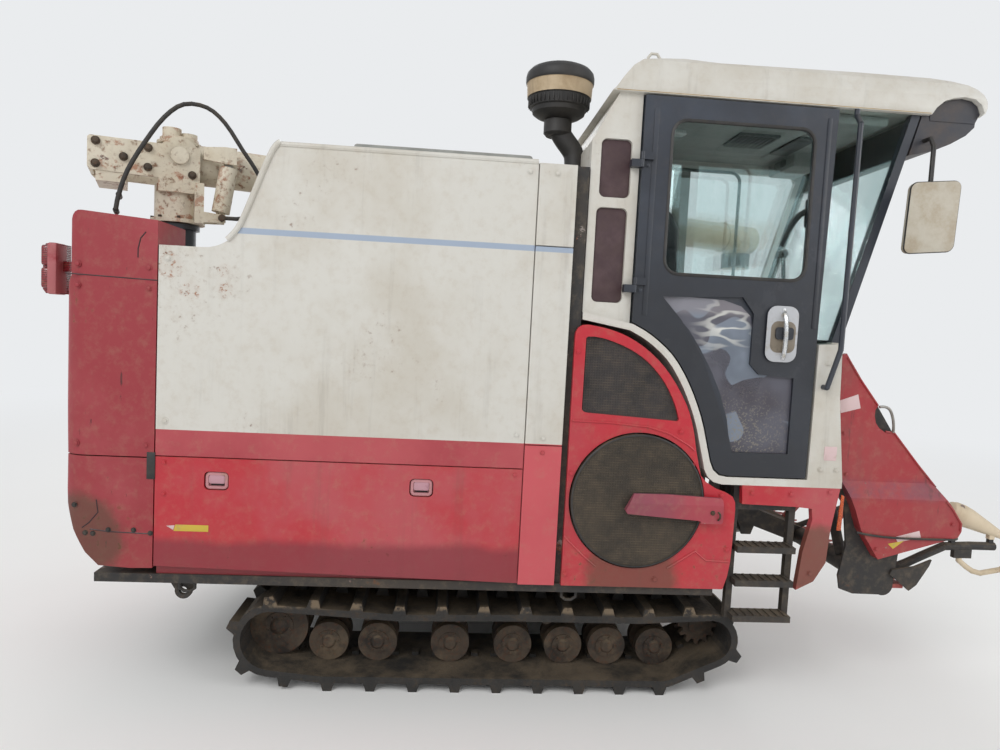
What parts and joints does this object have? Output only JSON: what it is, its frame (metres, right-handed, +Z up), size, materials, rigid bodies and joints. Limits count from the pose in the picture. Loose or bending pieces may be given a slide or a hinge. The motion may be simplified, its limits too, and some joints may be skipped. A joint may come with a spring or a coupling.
{
  "type": "combine harvester",
  "caption": "Small head-feed combine harvester on rubber tracks with a closed cab, side grain tank, swinging unloading auger and a lifting header.",
  "frame": {"origin": "on the ground under the middle of the bounding box, where the track lugs stand", "axes": "+X points forward towards the header, +Y to the machine's left, +Z up"},
  "size_m": [4.4, 1.96, 2.727],
  "materials": {
    "cream_paint": "satin, dusty",
    "red_paint": "faded, dusty",
    "black_paint": "satin",
    "frame_paint": "dusty",
    "track_rubber": "worn, muddy",
    "rusty_steel": "rusty",
    "bare_steel": "worn",
    "auger_cream": "rusty",
    "tan_plastic": "dusty",
    "black_plastic": "matt",
    "lamp_red": "gloss",
    "glass": "tinted",
    "hose_rubber": "matt",
    "seat_fabric": "woven"
  },
  "bodies": {
    "root": {"chassis_frame": "frame_paint", "transmission": "frame_paint", "track_frames": "frame_paint", "track_right": "track_rubber", "track_left": "track_rubber", "track_rollers": "rusty_steel", "drive_sprockets": "rusty_steel", "lower_body": "red_paint", "grain_tank": "cream_paint", "front_panels": "cream_paint", "partition": "frame_paint", "rear_cover_lower": "red_paint", "rear_cover_upper": "red_paint", "tail_lamps": "lamp_red", "thresher_body": "red_paint", "thresher_cover": "red_paint", "feed_chain": "rusty_steel", "chain_rails": "bare_steel", "straw_cutter": "red_paint", "crop_guard": "bare_steel", "engine_block": "frame_paint", "engine_cover": "red_paint", "engine_mesh": "frame_paint", "suction_bar": "red_paint", "precleaner": "tan_plastic", "cab_floor": "cream_paint", "cab_walls": "cream_paint", "cab_side_panel": "cream_paint", "cab_front": "cream_paint", "door_jamb": "black_paint", "cab_roof": "cream_paint", "cab_glass": "glass", "seat_stand": "frame_paint", "seat_cushion": "seat_fabric", "seat_back": "seat_fabric", "console": "black_plastic", "steering_column": "black_plastic", "mirror": "tan_plastic", "grab_rail": "black_paint", "ladder": "frame_paint", "skirt": "red_paint", "auger_column": "black_paint", "boom_rest": "frame_paint"},
    "door": {"cab_door": "black_paint", "door_glass": "glass"},
    "screen": {"rotary_screen": "frame_paint"},
    "header": {"header_frame": "frame_paint", "dividers": "cream_paint", "header_covers": "red_paint", "header_works": "red_paint"},
    "header_barrel": {"header_cylinder": "frame_paint"},
    "header_ram": {"header_rod": "bare_steel"},
    "turret": {"auger_turret": "auger_cream", "auger_hose": "hose_rubber"},
    "boom": {"auger_boom": "bare_steel"},
    "auger_barrel": {"auger_cylinder": "auger_cream"},
    "auger_ram": {"auger_rod": "bare_steel"}
  },
  "joints": [
    {"name": "door_swing", "type": "hinge", "parent": "root", "child": "door", "pos_m": [0.139, -0.91, 1.78], "axis": [0, 0, -1], "range_deg": [0, 80]},
    {"name": "screen_spin", "type": "hinge", "parent": "root", "child": "screen", "pos_m": [0.204, -0.91, 0.895], "axis": [0, 1, 0], "continuous": true},
    {"name": "header_lift", "type": "hinge", "parent": "root", "child": "header", "pos_m": [0.68, 0, 0.76], "axis": [0, -1, 0], "range_deg": [-26, 0]},
    {"name": "header_barrel_tilt", "type": "hinge", "parent": "root", "child": "header_barrel", "pos_m": [0.43, 0, 0.43], "axis": [0, -1, 0], "range_deg": [-15.01, 0.5]},
    {"name": "header_rod_slide", "type": "slide", "parent": "header_barrel", "child": "header_ram", "axis": [0.986, 0, 0.1669], "range_m": [-0.1474, 0.003]},
    {"name": "auger_swing", "type": "hinge", "parent": "root", "child": "turret", "pos_m": [-1.815, -0.5, 2], "axis": [0, 0, 1], "range_deg": [0, 248]},
    {"name": "auger_raise", "type": "hinge", "parent": "turret", "child": "boom", "pos_m": [-1.815, -0.5, 2.235], "axis": [0.3746, -0.9272, 0], "range_deg": [0, 40]},
    {"name": "auger_barrel_tilt", "type": "hinge", "parent": "turret", "child": "auger_barrel", "pos_m": [-1.6157, -0.56616, 1.985], "axis": [0.3746, -0.9272, 0], "range_deg": [-0.5, 10.87]},
    {"name": "auger_rod_slide", "type": "slide", "parent": "auger_barrel", "child": "auger_ram", "axis": [0.1361, 0.055, 0.9892], "range_m": [-0.002, 0.1263]}
  ],
  "couplings": [
    {"joint": "header_barrel_tilt", "follows": "header_lift", "ratio": 0.55404},
    {"joint": "header_rod_slide", "follows": "header_lift", "m_per_rad": 0.31812},
    {"joint": "auger_barrel_tilt", "follows": "auger_raise", "ratio": 0.25675},
    {"joint": "auger_rod_slide", "follows": "auger_raise", "m_per_rad": 0.17655}
  ]
}
